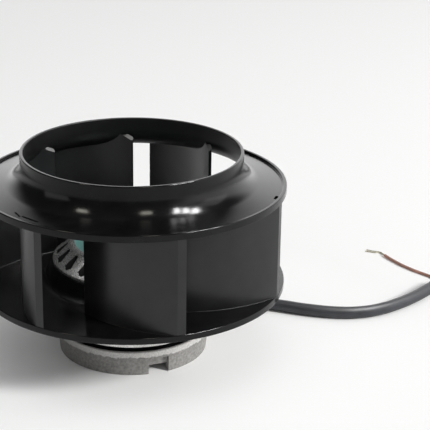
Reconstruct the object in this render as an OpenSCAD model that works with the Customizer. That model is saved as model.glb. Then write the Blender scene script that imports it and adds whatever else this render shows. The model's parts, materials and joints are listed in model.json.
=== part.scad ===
// Backward-curved centrifugal fan wheel on an external-rotor motor.
// Millimetres. The origin is on the spin axis, at the foot of the motor flange, and +Z points
// along the spin axis to the air inlet. Directions are given in degrees from the front (-Y),
// turning towards +X.

/* [Wheel] */
// Outer radius of the wheel
wheel_r = 95; // [88:0.5:110]
// Height of the back plate's top face above the mounting base
plate_z = 47.6; // [46:0.2:54]
// Thickness of the back plate
plate_t = 2.6; // [2:0.1:3.5]
// Depth of the band round the back plate's edge
plate_rim_h = 4; // [3.6:0.1:6]
// Width of the band round the back plate's edge
plate_rim_w = 3; // [2:0.1:6]
// Clear height between the back plate and the shroud at the rim
outlet_h = 58.5; // [48:0.5:70]

/* [Shroud] */
// Outer radius of the inlet collar
collar_r = 68.4; // [64:0.2:72]
// Height of the inlet collar's edge above the shroud's rim
collar_rise = 19.3; // [16:0.1:26]
// Wall thickness of the shroud
shroud_t = 2.2; // [1.6:0.1:2.6]
// Radius of the sweep from the collar into the cone
sweep_r = 12; // [8:0.5:14]
// Slope of the cone below the sweep, in degrees
cone_slope = 9; // [5:0.5:12]
// Height of the band round the shroud's edge
rim_h = 4.4; // [4:0.1:6]
// Width of the raised lip on the shroud's edge
lip_w = 2.2; // [1.5:0.1:4]
// Height of the raised lip above the foot of the cone
lip_h = 1.5; // [0.5:0.1:1.8]
// Radial width of the short slots beside the raised lip
lip_slot_w = 2; // [1.2:0.1:2.4]
// Length of the short slots beside the raised lip
lip_slot_l = 6; // [4:0.5:8]
// Distance from the raised lip in to the short slots
lip_slot_inset = 0.6; // [0.4:0.1:1.2]
// Turn from a blade's trailing edge on to the middle of a short slot, in degrees
lip_slot_turn = 3.6; // [3:0.1:8]

/* [Blades] */
// Number of blades
blade_count = 7; // [5:1:9]
// Thickness of a blade
blade_t = 2.2; // [1.6:0.1:3]
// Distance from the collar's outside in to the blades' leading edges
blade_inset = 3.4; // [2.8:0.1:6]
// Angle between a blade and the tangent at its leading edge
inlet_angle = 28; // [26:0.5:32]
// Angle between a blade and the tangent at its trailing edge
outlet_angle = 25; // [22:0.5:27]
// Direction of the first blade's trailing edge
blade_phase = 15.4; // [0:0.1:51]
// Height of a leading edge's top above the shroud's rim
nose_rise = 7; // [5:0.5:8.5]
// Steepness of the slope from the leading edge's top to the shroud
nose_slope = 0.9; // [0.6:0.1:1.5]

/* [Hub] */
// Height of the hub above the back plate
hub_h = 11; // [9:0.2:15]
// Width of the hub's top, round the rotor
hub_wall = 2.9; // [2.6:0.1:4]
// Spread of the hub's cone from its top to the back plate
hub_spread = 4.8; // [3:0.2:7]
// Radius of the fillet at the foot of the hub
hub_fillet = 6; // [3:0.5:8]

/* [Rotor] */
// Outer radius of the rotor's barrel
rotor_r = 47.4; // [46.8:0.1:50]
// Wall thickness of the rotor casting
rotor_wall = 3.2; // [2.6:0.1:3.6]
// Gap between the flange and the rotor's lower edge
rotor_gap = 2.2; // [1.5:0.1:4]
// Draft of the rotor's lower edge
rim_draft = 0.5; // [0.2:0.1:1]
// Height of the drafted lower edge of the rotor
rim_draft_h = 6; // [4:0.5:8]
// Overhang of the lip that seats on the hub
rotor_lip_w = 2.4; // [1.5:0.1:2.5]
// Thickness of the lip that seats on the hub
rotor_lip_t = 1.8; // [1.2:0.1:3]
// Height of the sloping shoulder above the lip
shoulder_h = 10; // [9:0.5:13]
// Width of the sloping shoulder, seen from above
shoulder_w = 11.2; // [10:0.2:13]
// Number of cooling slots in the shoulder
slot_count = 22; // [16:1:26]
// Width of a cooling slot at its upper end
slot_top_w = 3.6; // [2.6:0.1:4]
// Width of a cooling slot at its lower end
slot_foot_w = 6; // [4.5:0.1:7]
// Margin between a cooling slot and the shoulder's two edges
slot_margin = 1.4; // [1:0.1:2]
// Radius of the boss that holds the shaft
rotor_boss_r = 9; // [7.5:0.5:12]
// Width of the bare margin round the label
label_margin = 2.4; // [1:0.1:6]
// Thickness of the label
label_t = 0.3; // [0.2:0.1:0.6]

/* [Rotor core] */
// Height of the rotor and stator lamination stacks
core_h = 24; // [20:0.5:27]
// Distance from the rotor's lower edge up to the lamination stacks
core_inset = 8.4; // [8:0.2:11]
// Radial width of the rotor's lamination ring
core_w = 7.8; // [7:0.1:8.5]
// Air gap between the rotor and the stator
air_gap = 0.4; // [0.3:0.05:0.8]
// Number of bars in the rotor cage
bar_count = 28; // [20:1:32]
// Radius of a bar in the rotor cage
bar_r = 1.5; // [1:0.1:1.8]
// Height of the rings at the ends of the rotor cage
cage_ring_h = 4; // [3:0.2:5]
// Radial width of the rings at the ends of the rotor cage
cage_ring_w = 6.2; // [5:0.2:6.6]

/* [Stator] */
// Number of slots in the stator
stator_slots = 16; // [12:2:18]
// Width of a stator slot
stator_slot_w = 4.4; // [3.6:0.1:5]
// Depth of the stator's tooth tips
tooth_tip = 2.2; // [1.6:0.1:3]
// Width of the opening of a stator slot
slot_mouth_w = 1.6; // [1:0.1:2]
// Radial width of the stator's inner yoke
yoke_w = 6.5; // [5:0.5:8]
// Thickness of the slot insulation
liner_t = 0.4; // [0.3:0.05:0.6]
// Thickness of the insulating end plates
end_plate_t = 0.8; // [0.6:0.1:1.5]
// Height of the winding heads
coil_head_h = 6; // [4:0.5:7]
// Length of the thermal cut-out
cutout_l = 14; // [10:0.5:18]
// Width of the thermal cut-out
cutout_w = 7; // [5:0.5:10]
// Height of the thermal cut-out
cutout_h = 4; // [3:0.5:6]

/* [Bearings and shaft] */
// Radius of the shaft
shaft_r = 4; // [3.5:0.5:4.5]
// Outer radius of a bearing
bearing_r = 11; // [10.5:0.5:12]
// Width of a bearing
bearing_w = 7; // [7:0.5:8]
// Radius of a bearing ball
ball_r = 1.985; // [1.6:0.005:2]
// Number of balls in a bearing
ball_count = 7; // [6:1:7]
// Height of the lower bearing's lower face above the base
lower_bearing_z = 14; // [13:0.5:16]
// Height of the bearing tube above the stator stack
tube_rise = 4; // [3:0.5:6]
// Depth of the upper bearing below the top of the bearing tube
bearing_recess = 1; // [0.5:0.1:2]
// Radius of the bearing tube where it carries the stator
tube_r = 15; // [14:0.5:16]
// Height left for the preload washer
washer_h = 1.6; // [1.2:0.1:2.2]
// Thickness of the preload washer's spring steel
washer_t = 0.4; // [0.3:0.05:0.5]
// Thickness of the retaining ring on the shaft
clip_t = 1; // [0.8:0.1:1.2]
// Width of the retaining ring outside the shaft
clip_w = 2.2; // [1.6:0.1:2.6]
// Depth of the shaft's groove for the retaining ring
clip_groove_d = 0.4; // [0.3:0.05:0.6]
// Length of the shaft below the retaining ring
shaft_tail = 1.5; // [1:0.1:2]
// Thickness of a bearing's shields
shield_t = 0.4; // [0.3:0.05:0.5]
// Depth of a bearing's shields below its faces
shield_inset = 0.2; // [0.1:0.05:0.3]
// Gap between a bearing's shields and its inner ring
shield_gap = 0.2; // [0.15:0.05:0.4]
// Width of the step in the bearing tube that stops the bearings
bearing_stop_w = 2; // [1.5:0.1:2.5]
// Width of the step on the bearing tube that the stator stands on
stator_seat_w = 2; // [1.5:0.1:3]
// Length of the bearing tube below the lower bearing
tube_drop = 8; // [7:0.5:8.5]
// Gap between the bearing tube and the rotor's boss
boss_gap = 1.5; // [1:0.1:2.5]
// Thickness of the dust cap
cap_t = 1.5; // [1:0.1:2]
// Gap between the shaft's foot and the dust cap
cap_gap = 1.5; // [1:0.1:2]

/* [Flange] */
// Radius of the flange at its foot
base_r = 46.5; // [46:0.5:50]
// Height of the lower, drafted part of the flange's side
band_z = 11.6; // [11.2:0.2:12.4]
// Draft of the lower part of the flange's side
base_draft = 1.1; // [0.5:0.1:2]
// Flare of the band above it
band_flare = 1.2; // [0.5:0.1:2]
// Height of the flange
flange_h = 16.4; // [15.8:0.2:18]
// Thickness of the flange's top wall
flange_t = 4; // [3.4:0.2:4.2]
// Width of the rim round the recess in the flange's top
flange_rim_w = 1.8; // [1.2:0.1:2.5]
// Depth of the recess in the flange's top, below the rotor's edge
recess_d = 2.2; // [1:0.1:2.4]
// Radial width of the recess in the flange's top
recess_w = 10; // [6:0.5:12]
// Thickness of the flange's skirt
skirt_w = 5; // [4:0.2:5.6]
// Direction of the first notch in the skirt
notch_phase = 19.5; // [0:0.5:60]
// Number of notches in the skirt, with a mounting hole midway between each two
notch_count = 3; // [3:1:4]
// Width of a notch
notch_w = 13; // [12.4:0.2:16]
// Height of a notch
notch_h = 10.8; // [10.6:0.1:11.2]
// Depth of a notch
notch_d = 2.8; // [2.2:0.1:3.2]
// Height of the opening at the foot of a notch
notch_open_h = 5; // [3:0.5:8]
// Diameter of the circle through the mounting holes
screw_pcd = 66; // [60:1:68]
// Radius of the tapped mounting holes
screw_hole_r = 1.65; // [1.25:0.05:2.1]
// Depth of the tapped mounting holes
screw_hole_d = 9; // [6:0.5:10]
// Radius of the bosses round the mounting holes
screw_boss_r = 5; // [4:0.2:6]

/* [Cable] */
// Radius of the cable's sheath
sheath_r = 4; // [3.5:0.1:4.2]
// Height of the cable bush above the surface that the flange stands on
cable_lift = 0.2; // [0.1:0.05:0.5]
// Length of the cable bush outside the flange
bush_l = 13.5; // [12:0.5:18]
// Wall of the cable bush at its thin end
bush_tip_w = 0.6; // [0.5:0.1:1]
// Wall of the cable bush in the flange's skirt
bush_neck_w = 1.2; // [1:0.1:1.4]
// Wall of the cable bush's collars on both sides of the skirt
bush_collar_w = 1.8; // [1.5:0.1:1.9]
// Length of the cable bush's collars
bush_collar_l = 2.8; // [2:0.1:3]
// Width of the cable tie
tie_w = 4.6; // [3.6:0.2:5]
// Thickness of the cable tie
tie_t = 1.2; // [1:0.1:1.6]
// Length of the cable tie's head
tie_head_l = 5; // [4:0.5:6]
// Width of the cable tie's head
tie_head_w = 6; // [4:0.5:8]
// Length of the cable's sheath inside the tie
sheath_tail = 3; // [2:0.2:4]
// Radius of an insulated core
core_wire_r = 1; // [0.8:0.1:1.1]
// Radius of the bare strands at the end of a core
strand_r = 0.6; // [0.4:0.1:0.8]
// Distance from the axis to the hole that the leads pass through
lead_hole_pos = 25; // [23:0.2:26]
// Radius of the hole that the leads pass through
lead_hole_r = 4; // [3.6:0.1:4.4]
// Distance of each lead from the middle of that hole
lead_spread = 1.8; // [1.4:0.1:2.2]

/* [Earth terminal] */
// Distance of the earth screw out from the axis, along the cable
earth_out = 26.5; // [25:0.5:28]
// Distance of the earth screw sideways from the cable
earth_side = 14; // [13:0.5:16]
// Radius of the earth screw
earth_screw_r = 2; // [1.5:0.1:2.5]
// Radius of the earth screw's head
earth_head_r = 3.6; // [3:0.1:4]
// Height of the earth screw's head
earth_head_h = 2.4; // [1.8:0.1:3]
// Width and depth of the slot in the earth screw's head
earth_slot = 1; // [0.8:0.1:1.4]
// Radius of the eye of the earth lug
earth_lug_r = 4; // [3.6:0.1:5]
// Thickness of the earth lug
earth_lug_t = 1; // [0.6:0.1:1.2]
// Radius of the barrel that grips the earth lead
earth_barrel_r = 1.8; // [1.5:0.1:2.2]
// Length of the barrel that grips the earth lead
earth_barrel_l = 4; // [3:0.5:5]

/* [Fits] */
// Radial gap of a pressed or shrunk fit
press_gap = 0.02; // [0.01:0.01:0.05]
// Gap between the rolling parts of a bearing
race_gap = 0.03; // [0.02:0.01:0.06]
// Gap between a moulded piece and the piece that it is joined to
join_gap = 0.05; // [0.03:0.01:0.1]

/* [Hidden] */
$fn = 96;
// A length beyond every outline, for half planes and through cuts
far = 400;
// Overlap of one cut past the face that it opens
cut = 0.5;

// Heights of the wheel
rim_bottom_z = plate_z + outlet_h;
rim_top_z = rim_bottom_z + rim_h;
collar_top_z = rim_top_z + collar_rise;
hub_top_z = plate_z + hub_h;

// Outline of the shroud
collar_in_r = collar_r - shroud_t;
lip_r = wheel_r - lip_w;
lip_foot_z = rim_top_z - lip_h;
sweep_x = collar_r + sweep_r;
sweep_z = lip_foot_z + (lip_r - sweep_x) * tan(cone_slope) + sweep_r / cos(cone_slope);
nose_z = rim_top_z + nose_rise;

// Circular-arc blade from its two radii and its two angles
blade_in_r = collar_r - blade_inset;
arc_r = (wheel_r ^ 2 - blade_in_r ^ 2)
    / (2 * (wheel_r * cos(outlet_angle) - blade_in_r * cos(inlet_angle)));
arc_d = sqrt(wheel_r ^ 2 + arc_r ^ 2 - 2 * wheel_r * arc_r * cos(outlet_angle));
trail_turn = acos((wheel_r ^ 2 + arc_d ^ 2 - arc_r ^ 2) / (2 * wheel_r * arc_d));
lead_turn = acos((blade_in_r ^ 2 + arc_d ^ 2 - arc_r ^ 2) / (2 * blade_in_r * arc_d));
lead_point = [blade_in_r * cos(lead_turn) - arc_d, -blade_in_r * sin(lead_turn)];
lead_angle = atan2(lead_point[1], lead_point[0]);
trail_point = [wheel_r * cos(trail_turn) - arc_d, -wheel_r * sin(trail_turn)];
trail_angle = atan2(trail_point[1], trail_point[0]);
blade_pitch = 360 / blade_count;
lip_slot_r = lip_r - lip_slot_inset - lip_slot_w / 2;

// Heights and radii of the rotor
rotor_rim_z = flange_h + rotor_gap;
rotor_lip_r = rotor_r + rotor_lip_w;
rotor_lip_z = hub_top_z + rotor_lip_t;
rotor_top_z = rotor_lip_z + shoulder_h;
rotor_top_r = rotor_lip_r - shoulder_w;
rotor_in_r = rotor_r - rotor_wall;
rotor_ceiling_z = rotor_top_z - rotor_wall;
hub_bore_r = rotor_r + press_gap;
hub_top_r = rotor_r + hub_wall;
label_r = rotor_top_r - label_margin;

// Lamination stacks
core_z = rotor_rim_z + core_inset;
core_top_z = core_z + core_h;
core_out_r = rotor_in_r - press_gap;
core_in_r = core_out_r - core_w;
bar_ring_r = (core_out_r + core_in_r) / 2;
stator_r = core_in_r - air_gap;
slot_out_r = stator_r - tooth_tip;
slot_in_r = tube_r + yoke_w;
coil_top_z = core_top_z + end_plate_t + coil_head_h;
coil_foot_z = core_z - end_plate_t - coil_head_h;

// Bearings and shaft
tube_top_z = core_top_z + tube_rise;
tube_foot_z = lower_bearing_z - tube_drop;
shoulder_r = tube_r + stator_seat_w;
upper_bearing_z = tube_top_z - bearing_recess - bearing_w;
washer_z = upper_bearing_z - washer_h;
seat_r = bearing_r + press_gap;
step_r = bearing_r - bearing_stop_w;
pitch_r = (shaft_r + bearing_r) / 2;
land = 0.7 * ball_r;
groove_r = ball_r + race_gap;
cage_w = 0.7 * ball_r;
cage_h = 2.5 * ball_r;
rotor_boss_z = tube_top_z + boss_gap;
spigot_r = pitch_r - land - shield_gap;
shaft_top_z = rotor_ceiling_z + rotor_wall / 2;
clip_z = lower_bearing_z - clip_t - race_gap;
shaft_foot_z = clip_z - shaft_tail;
clip_groove_r = shaft_r - clip_groove_d;
clip_r = shaft_r + clip_w;
cap_z = shaft_foot_z - cap_gap - cap_t;

// Flange
band_r = base_r + base_draft;
flange_r = band_r + band_flare;
flange_ceiling_z = flange_h - flange_t;
recess_out_r = flange_r - flange_rim_w;
recess_in_r = recess_out_r - recess_w;
recess_z = flange_h - recess_d;
skirt_in_r = base_r - skirt_w;
notch_step = 360 / notch_count;
cable_notch = 1;
cable_dir = notch_phase + cable_notch * notch_step;

// Cable fittings, as distances out from the axis along the cable's direction
bush_bore_r = sheath_r + join_gap;
bush_neck_r = sheath_r + bush_neck_w;
bush_collar_r = sheath_r + bush_collar_w;
bush_tip_r = sheath_r + bush_tip_w;
bush_end = base_r + bush_l;
notch_floor = base_r - notch_d;
bush_lip = bush_collar_l / 3;
cable_z = bush_collar_r + cable_lift;
tie_pos = skirt_in_r - bush_collar_l - bush_lip - tie_w;
sheath_in_end = tie_pos - sheath_tail;
earth_lug_z = flange_ceiling_z - earth_lug_t;
earth_lead_z = earth_lug_z - core_wire_r - 2 * join_gap;
earth_mouth = earth_side - earth_lug_r - earth_barrel_l;

// Route of the sheath outside the bush, lying on the table and ending at the stripped cores
sheath_route = [
    [48, 53, 5.4], [59, 57, 4.8], [70, 57, 4.4], [78, 55, 4.1], [90, 50, 4], [101, 45.5, 4],
    [117, 39, 4], [137, 34, 4], [150, 34, 4], [164, 38, 4], [182, 49.5, 4], [194, 60, 4],
    [206, 73, 4], [216, 84, 4]
];
// Routes of the three cores from the sheath's end
brown_route = [
    [215, 85, 3.4], [216.8, 88, 2.8], [217.4, 91, 2.2], [216.8, 94.2, 1.6], [215, 97, 1.2],
    [212, 101, 1], [208, 105.5, 1], [204, 110, 1], [199.4, 116, 1], [195, 122.5, 1],
    [191.6, 128.8, 1], [188.5, 135, 1], [186, 141, 1]
];
blue_route = [
    [217.2, 82.8, 3.4], [221, 87, 2.6], [225.5, 92, 1.8], [230, 98, 1.2], [233.5, 105, 1],
    [236, 113, 1], [237, 121, 1], [237, 129, 1], [236, 137, 1], [234.5, 145, 1], [233, 152, 1]
];
earth_route = [
    [216, 84, 5.8], [220.5, 89, 5], [224, 93.5, 3.6], [226.6, 98.6, 2.2], [228.4, 104.5, 1.2],
    [229.4, 111, 1], [229.6, 118, 1], [229, 125, 1], [228, 132, 1], [227, 139.5, 1], [226.4, 147, 1]
];
// Bare strands at the end of each core
brown_ends = [
    [186, 141, 1], [184.8, 143.6, 0.8], [183, 147.6, 0.6], [179, 148.6, 0.6], [173.6, 151.2, 0.6]
];
blue_ends = [[233, 152, 1], [232, 157, 0.8], [231.4, 162, 0.6], [231, 168, 0.6]];
earth_ends = [[226.4, 147, 1], [226.4, 152, 0.8], [226.8, 157, 0.6], [227.6, 163, 0.6]];
sheath_sides = 10;
core_sides = 8;

BLADES = [for (i = [1 : blade_count]) str("blade_", i)];

// Shared shapes

// Turns +X to a direction given in degrees from the front
module facing(direction) {
    rotate([0, 0, direction - 90]) children();
}

// Point at a distance along the cable's direction, a sideways offset and a height
function beside_cable(out, side, z) = [
    out * sin(cable_dir) + side * cos(cable_dir),
    -out * cos(cable_dir) + side * sin(cable_dir),
    z
];

function unit(v) = v / norm(v);

// Direction of a route at one of its points
function heading(route, i) = unit(route[min(i + 1, len(route) - 1)] - route[max(i - 1, 0)]);

// Points round a route, in a plane across its heading
function ring_points(centre, along, across, radius, sides) =
    let (u = unit(cross(along, across)), v = cross(u, along))
    [for (k = [0 : sides - 1]) centre + radius * (cos(360 * k / sides) * u + sin(360 * k / sides) * v)];

// Round tube swept along a route; across is never parallel to the route
module tube(route, radius, sides, across = [0, 0, 1]) {
    last = len(route) - 1;
    points = [for (i = [0 : last])
        each ring_points(route[i], heading(route, i), across, radius, sides)];
    walls = [for (i = [0 : last - 1], k = [0 : sides - 1])
        let (next = (k + 1) % sides)
        each [
            [i * sides + k, i * sides + next, (i + 1) * sides + next],
            [i * sides + k, (i + 1) * sides + next, (i + 1) * sides + k]
        ]];
    start_cap = [for (k = [sides - 1 : -1 : 0]) k];
    end_cap = [for (k = [0 : sides - 1]) last * sides + k];
    polyhedron(points, concat(walls, [start_cap, end_cap]));
}

// Plain ring between two radii
module ring(inner, outer, z, height) {
    translate([0, 0, z]) difference() {
        cylinder(r = outer, h = height);
        translate([0, 0, -cut]) cylinder(r = inner, h = height + 2 * cut);
    }
}

// Wheel

// Half section of everything below a surface of the shroud that lies depth under its upper face
module below_shroud(depth) {
    bend_r = sweep_r + depth;
    foot_x = sweep_x - bend_r * sin(cone_slope);
    foot_z = sweep_z - bend_r * cos(cone_slope);
    edge_z = foot_z - (lip_r - foot_x) * tan(cone_slope);
    wall_x = sweep_x - bend_r;
    difference() {
        polygon([
            [0, 0], [lip_r, 0], [lip_r, edge_z], [foot_x, foot_z],
            [wall_x, sweep_z], [wall_x, far], [0, far]
        ]);
        translate([sweep_x, sweep_z]) circle(r = bend_r);
    }
}

module shroud_section() {
    intersection() {
        difference() {
            below_shroud(0);
            below_shroud(shroud_t);
        }
        square([far, collar_top_z]);
    }
    translate([lip_r - shroud_t, rim_bottom_z])
        square([shroud_t, lip_foot_z - rim_bottom_z]);
    translate([lip_r, rim_bottom_z]) square([lip_w, rim_h]);
}

function polar(radius, angle) = radius * [cos(angle), sin(angle)];

// Plan of one blade: an arc band from its chamfered leading edge to the wheel's rim
module blade_plan() {
    nose_turn = atan(blade_t / 2 / arc_r);
    facing(blade_phase + trail_turn) intersection() {
        circle(r = wheel_r);
        translate([arc_d, 0]) intersection() {
            difference() {
                circle(r = arc_r);
                circle(r = arc_r - blade_t);
            }
            polygon([
                [0, 0],
                polar(arc_r - blade_t - cut, lead_angle),
                polar(arc_r - 0.75 * blade_t, lead_angle - nose_turn),
                polar(arc_r - 0.25 * blade_t, lead_angle - nose_turn),
                polar(arc_r + cut, lead_angle),
                polar(far, lead_angle),
                polar(far, (lead_angle + trail_angle) / 2),
                polar(far, trail_angle + blade_pitch / 4)
            ]);
        }
    }
}

// Half section that a blade fills, between the back plate and the shroud
module blade_section() {
    roof = shroud_t + join_gap;
    bend_r = sweep_r + roof;
    foot = [sweep_x - bend_r * sin(cone_slope), sweep_z - bend_r * cos(cone_slope)];
    edge_r = lip_r - roof;
    edge_z = foot[1] - (edge_r - foot[0]) * tan(cone_slope);
    rim_z = rim_bottom_z - join_gap;
    front_r = blade_in_r - 2 * blade_t;
    nose_top_r = blade_in_r + (sweep_z - nose_z) / nose_slope;
    difference() {
        polygon([
            [front_r, plate_z], [wheel_r + cut, plate_z], [wheel_r + cut, rim_z],
            [edge_r, rim_z], [edge_r, edge_z], foot, [nose_top_r, sweep_z],
            [front_r, nose_z - (blade_in_r - front_r) * nose_slope]
        ]);
        translate([sweep_x, sweep_z]) circle(r = bend_r + join_gap);
    }
}

// Slot beside the lip, with round ends
module lip_slot() {
    reach = (lip_slot_l - lip_slot_w) / 2;
    hull() for (side = [-reach, reach])
        translate([lip_slot_r, side]) circle(d = lip_slot_w);
}

module inlet_shroud() {
    color("#1b1b1d") difference() {
        rotate_extrude() shroud_section();
        for (i = [0 : blade_count - 1])
            facing(blade_phase + lip_slot_turn + i * blade_pitch) linear_extrude(far) lip_slot();
    }
}

module blade(i) {
    color("#1d1d1f") rotate((i - 1) * blade_pitch) intersection() {
        linear_extrude(far) blade_plan();
        rotate_extrude() blade_section();
    }
}

module back_plate() {
    hub_foot_r = hub_top_r + hub_spread;
    lean = atan2(hub_spread, hub_h);
    fillet_x = hub_foot_r + hub_fillet * (1 - sin(lean)) / cos(lean);
    fillet_z = plate_z + hub_fillet;
    touch = [fillet_x - hub_fillet * cos(lean), fillet_z - hub_fillet * sin(lean)];
    color("#1b1b1d") rotate_extrude() {
        difference() {
            polygon([
                [hub_bore_r, plate_z - plate_t], [wheel_r, plate_z - plate_t], [wheel_r, plate_z],
                [fillet_x, plate_z], touch, [hub_top_r, hub_top_z], [hub_bore_r, hub_top_z]
            ]);
            translate([fillet_x, fillet_z]) circle(r = hub_fillet);
        }
        translate([wheel_r - plate_rim_w, plate_z - plate_rim_h]) square([plate_rim_w, plate_rim_h]);
    }
}

// Rotor

// Plan of a cooling slot: two round ends and the straight sides between them. The slot opens into the
// rotor at its upper end and has a floor on the lip at its lower end
module slot_plan() {
    top = [rotor_top_r + slot_margin + slot_top_w / 2, slot_top_w / 2];
    foot = [rotor_lip_r - slot_margin - slot_foot_w / 2, slot_foot_w / 2];
    translate([top[0], 0]) circle(r = top[1]);
    translate([foot[0], 0]) circle(r = foot[1]);
    polygon([[top[0], top[1]], [foot[0], foot[1]], [foot[0], -foot[1]], [top[0], -top[1]]]);
}

module rotor_cup() {
    inner_drop = rotor_wall / cos(45);
    color("#b9b9b6") difference() {
        rotate_extrude() polygon([
            [0, rotor_top_z], [rotor_top_r, rotor_top_z], [rotor_lip_r, rotor_lip_z],
            [rotor_lip_r, hub_top_z], [rotor_r, hub_top_z], [rotor_r, rotor_rim_z + rim_draft_h],
            [rotor_r - rim_draft, rotor_rim_z], [rotor_in_r, rotor_rim_z],
            [rotor_in_r, rotor_lip_z - inner_drop], [rotor_top_r - rotor_wall / 2, rotor_ceiling_z],
            [rotor_boss_r, rotor_ceiling_z], [rotor_boss_r, rotor_boss_z],
            [spigot_r, rotor_boss_z], [spigot_r, upper_bearing_z + bearing_w],
            [shaft_r + press_gap, upper_bearing_z + bearing_w],
            [shaft_r + press_gap, shaft_top_z], [0, shaft_top_z]
        ]);
        for (i = [0 : slot_count - 1]) rotate(i * 360 / slot_count) {
            translate([0, 0, rotor_lip_z]) linear_extrude(shoulder_h + cut) slot_plan();
            translate([0, 0, rotor_lip_z - inner_drop]) linear_extrude(shoulder_h) intersection() {
                slot_plan();
                circle(r = rotor_in_r - cut);
            }
        }
    }
}

module cage_bars(radius) {
    for (i = [0 : bar_count - 1])
        rotate(i * 360 / bar_count) translate([bar_ring_r, 0, core_z - cut])
            cylinder(r = radius, h = core_h + 2 * cut, $fn = 24);
}

module rotor_core() {
    color("#6f6f72") difference() {
        ring(core_in_r, core_out_r, core_z, core_h);
        cage_bars(bar_r + press_gap);
    }
}

module rotor_cage() {
    color("#c4c4c2") {
        cage_bars(bar_r);
        for (z = [core_z - cage_ring_h, core_top_z])
            ring(bar_ring_r - cage_ring_w / 2, bar_ring_r + cage_ring_w / 2, z, cage_ring_h);
    }
}

module rotor_label() {
    color("#5fb5ac") translate([0, 0, rotor_top_z]) cylinder(r = label_r, h = label_t);
}

module shaft() {
    color("#c8c8ca") difference() {
        translate([0, 0, shaft_foot_z]) cylinder(r = shaft_r, h = shaft_top_z - shaft_foot_z);
        ring(clip_groove_r, shaft_r + cut, clip_z - race_gap, clip_t + 2 * race_gap);
    }
}

module shaft_clip() {
    color("#3c3c3f") difference() {
        ring(clip_groove_r + press_gap, clip_r, clip_z, clip_t);
        translate([0, -clip_groove_r / 2, clip_z - cut])
            cube([clip_r + cut, clip_groove_r, clip_t + 2 * cut]);
    }
}

// Bearings, drawn from the height of their lower face

module groove() {
    translate([pitch_r, bearing_w / 2]) circle(r = groove_r, $fn = 48);
}

module bearing_inner(z) {
    color("#cfcfd2") translate([0, 0, z]) rotate_extrude() difference() {
        translate([shaft_r + press_gap, 0]) square([pitch_r - land - shaft_r - press_gap, bearing_w]);
        groove();
    }
}

module bearing_outer(z) {
    color("#cfcfd2") translate([0, 0, z]) rotate_extrude() difference() {
        translate([pitch_r + land, 0]) square([bearing_r - pitch_r - land, bearing_w]);
        groove();
    }
}

module bearing_shields(z) {
    color("#a9a9ad") for (side_z = [shield_inset, bearing_w - shield_inset - shield_t])
        ring(pitch_r - land + shield_gap, pitch_r + land - press_gap, z + side_z, shield_t);
}

module place_balls(z) {
    for (i = [0 : ball_count - 1])
        rotate(i * 360 / ball_count) translate([pitch_r, 0, z + bearing_w / 2]) children();
}

module bearing_balls(z) {
    color("#e0e0e4") place_balls(z) sphere(r = ball_r, $fn = 32);
}

module bearing_cage(z) {
    color("#b08d4a") difference() {
        ring(pitch_r - cage_w / 2, pitch_r + cage_w / 2, z + (bearing_w - cage_h) / 2, cage_h);
        place_balls(z) sphere(r = ball_r + 2 * race_gap, $fn = 32);
    }
}

// Stator

module stator_slots_plan(width, inner, outer) {
    for (i = [0 : stator_slots - 1])
        rotate(i * 360 / stator_slots) translate([inner, -width / 2]) square([outer - inner, width]);
}

module stator_plan(tip_r) {
    difference() {
        circle(r = tip_r);
        circle(r = tube_r + press_gap);
        stator_slots_plan(stator_slot_w, slot_in_r, slot_out_r);
        stator_slots_plan(slot_mouth_w, slot_out_r - cut, far);
    }
}

module stator_core() {
    color("#77777a") translate([0, 0, core_z]) linear_extrude(core_h) stator_plan(stator_r);
}

module end_plate(z) {
    color("#d8d3c4") translate([0, 0, z]) linear_extrude(end_plate_t) difference() {
        stator_plan(slot_out_r + tooth_tip / 2);
        circle(r = shoulder_r + end_plate_t);
    }
}

module stator_winding() {
    coil_in_r = slot_in_r + liner_t;
    coil_out_r = slot_out_r - liner_t;
    color("#9a5a2c") {
        translate([0, 0, core_z - end_plate_t - cut])
            linear_extrude(core_h + 2 * end_plate_t + 2 * cut)
                stator_slots_plan(stator_slot_w - 2 * liner_t, coil_in_r, coil_out_r);
        for (z = [coil_foot_z, coil_top_z - coil_head_h]) ring(coil_in_r, coil_out_r, z, coil_head_h);
    }
}

module thermal_cutout() {
    middle_r = (slot_in_r + slot_out_r) / 2;
    color("#e6e2d6") facing(0) translate([middle_r - cutout_w / 2, -cutout_l / 2, coil_top_z])
        cube([cutout_w, cutout_l, cutout_h]);
}

// Spring washer with three waves between the tube's step and the upper bearing
module preload_washer() {
    steps = 48;
    waves = 3;
    swing = (washer_h - washer_t) / 2 - press_gap;
    inner = step_r - bearing_stop_w;
    outer = bearing_r - washer_t;
    middle = washer_z + washer_h / 2;
    points = [for (i = [0 : steps - 1])
        let (a = 360 * i / steps, z = middle + swing * cos(waves * a))
        each [
            [inner * cos(a), inner * sin(a), z - washer_t / 2],
            [outer * cos(a), outer * sin(a), z - washer_t / 2],
            [outer * cos(a), outer * sin(a), z + washer_t / 2],
            [inner * cos(a), inner * sin(a), z + washer_t / 2]
        ]];
    faces = [for (i = [0 : steps - 1], k = [0 : 3])
        let (here = 4 * i, there = 4 * ((i + 1) % steps), next = (k + 1) % 4)
        each [[here + k, here + next, there + next], [here + k, there + next, there + k]]];
    color("#8d8d92") polyhedron(points, faces);
}

module dust_cap() {
    color("#a5a5a8") translate([0, 0, cap_z]) cylinder(r = bearing_r, h = cap_t);
}

// Flange

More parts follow.
